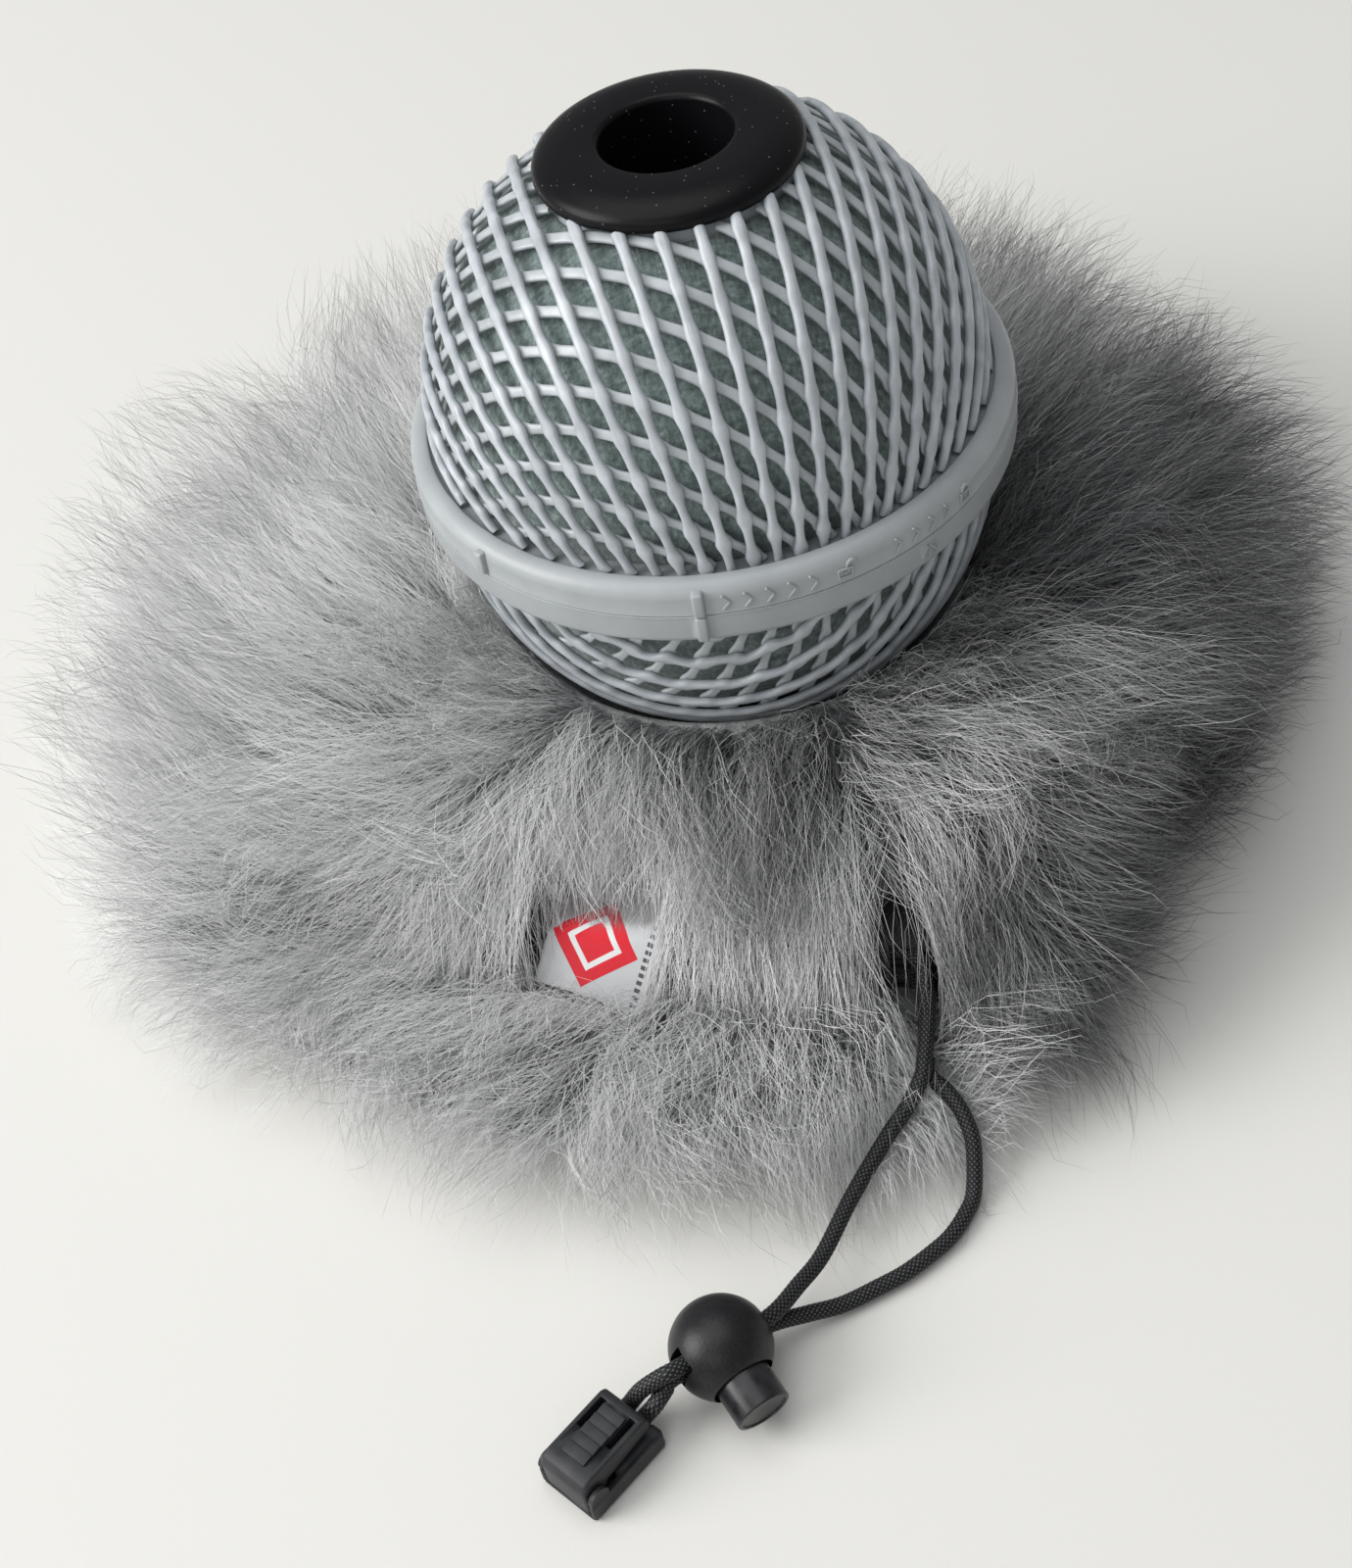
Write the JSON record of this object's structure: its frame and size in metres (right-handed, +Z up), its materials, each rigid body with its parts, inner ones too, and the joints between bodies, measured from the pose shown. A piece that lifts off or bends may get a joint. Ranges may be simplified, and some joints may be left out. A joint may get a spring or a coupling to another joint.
{
  "type": "furry windscreen",
  "caption": "Round microphone windscreen: foam-lined basket ball with bayonet ring and rubber bush, on its folded fur cover with drawcord, cord lock and cord end.",
  "frame": {"origin": "on the underside of the folded fur cover, straight below the middle of the ball", "axes": "+Z up along the ball's axis, out of the rubber bush; -Y towards the drawcord"},
  "size_m": [0.243, 0.2927, 0.135],
  "materials": {
    "basket_plastic": "satin, slightly streaked",
    "foam_felt": "felted, matt",
    "ring_plastic": "satin",
    "seal_foam": "matt",
    "bush_rubber": "satin",
    "fur": "long pile, silver with dark tips",
    "hem_fabric": "woven, matt",
    "label_satin": "woven satin",
    "cord_braid": "braided",
    "lock_plastic": "satin, fine grain",
    "button_plastic": "gloss side, matt end",
    "spring_steel": "plain",
    "cord_end_plastic": "satin"
  },
  "bodies": {
    "cover": {"fur_panel_lower": "fur", "fur_panel_upper": "fur", "mouth_hem": "hem_fabric", "hem_cord_run": "cord_braid", "side_label": "label_satin", "drawcord_a": "cord_braid", "drawcord_b": "cord_braid", "cord_end_base": "cord_end_plastic", "cord_end_pin": "cord_end_plastic"},
    "lower_half": {"lower_basket_net": "basket_plastic", "lower_foam_liner": "foam_felt", "lower_ring": "ring_plastic"},
    "seal": {"ring_seal": "seal_foam"},
    "upper_half": {"upper_basket_net": "basket_plastic", "upper_foam_liner": "foam_felt", "upper_ring": "ring_plastic", "bush_collar": "basket_plastic", "rubber_bush": "bush_rubber"},
    "cord_lock": {"cord_lock_body": "lock_plastic", "cord_lock_spring": "spring_steel"},
    "lock_button": {"cord_lock_button": "button_plastic"},
    "end_lid": {"cord_end_lid": "cord_end_plastic"}
  },
  "joints": [
    {"name": "ball_lift", "type": "slide", "parent": "cover", "child": "lower_half", "axis": [0, 0, 1], "range_m": [0, 0.12]},
    {"name": "bayonet_twist", "type": "hinge", "parent": "lower_half", "child": "seal", "pos_m": [0, 0, 0.08], "axis": [0, 0, 1], "range_deg": [0, 30]},
    {"name": "upper_lift", "type": "slide", "parent": "seal", "child": "upper_half", "axis": [0, 0, 1], "range_m": [0, 0.06]},
    {"name": "cord_lock_slide", "type": "slide", "parent": "cover", "child": "cord_lock", "axis": [-0.8756, -0.4611, 0.1437], "range_m": [0, 0.0015]},
    {"name": "lock_button_press", "type": "slide", "parent": "cord_lock", "child": "lock_button", "axis": [-0.4288, 0.8792, 0.2079], "range_m": [0, 0.0024], "stiffness_N_per_m": 800, "springref_m": -0.004, "deforming": ["cord_lock_spring"]},
    {"name": "end_lid_hinge", "type": "hinge", "parent": "cover", "child": "end_lid", "pos_m": [-0.04739, -0.15549, 0.0046], "axis": [0.682, -0.7314, 0], "range_deg": [0, 95]}
  ]
}
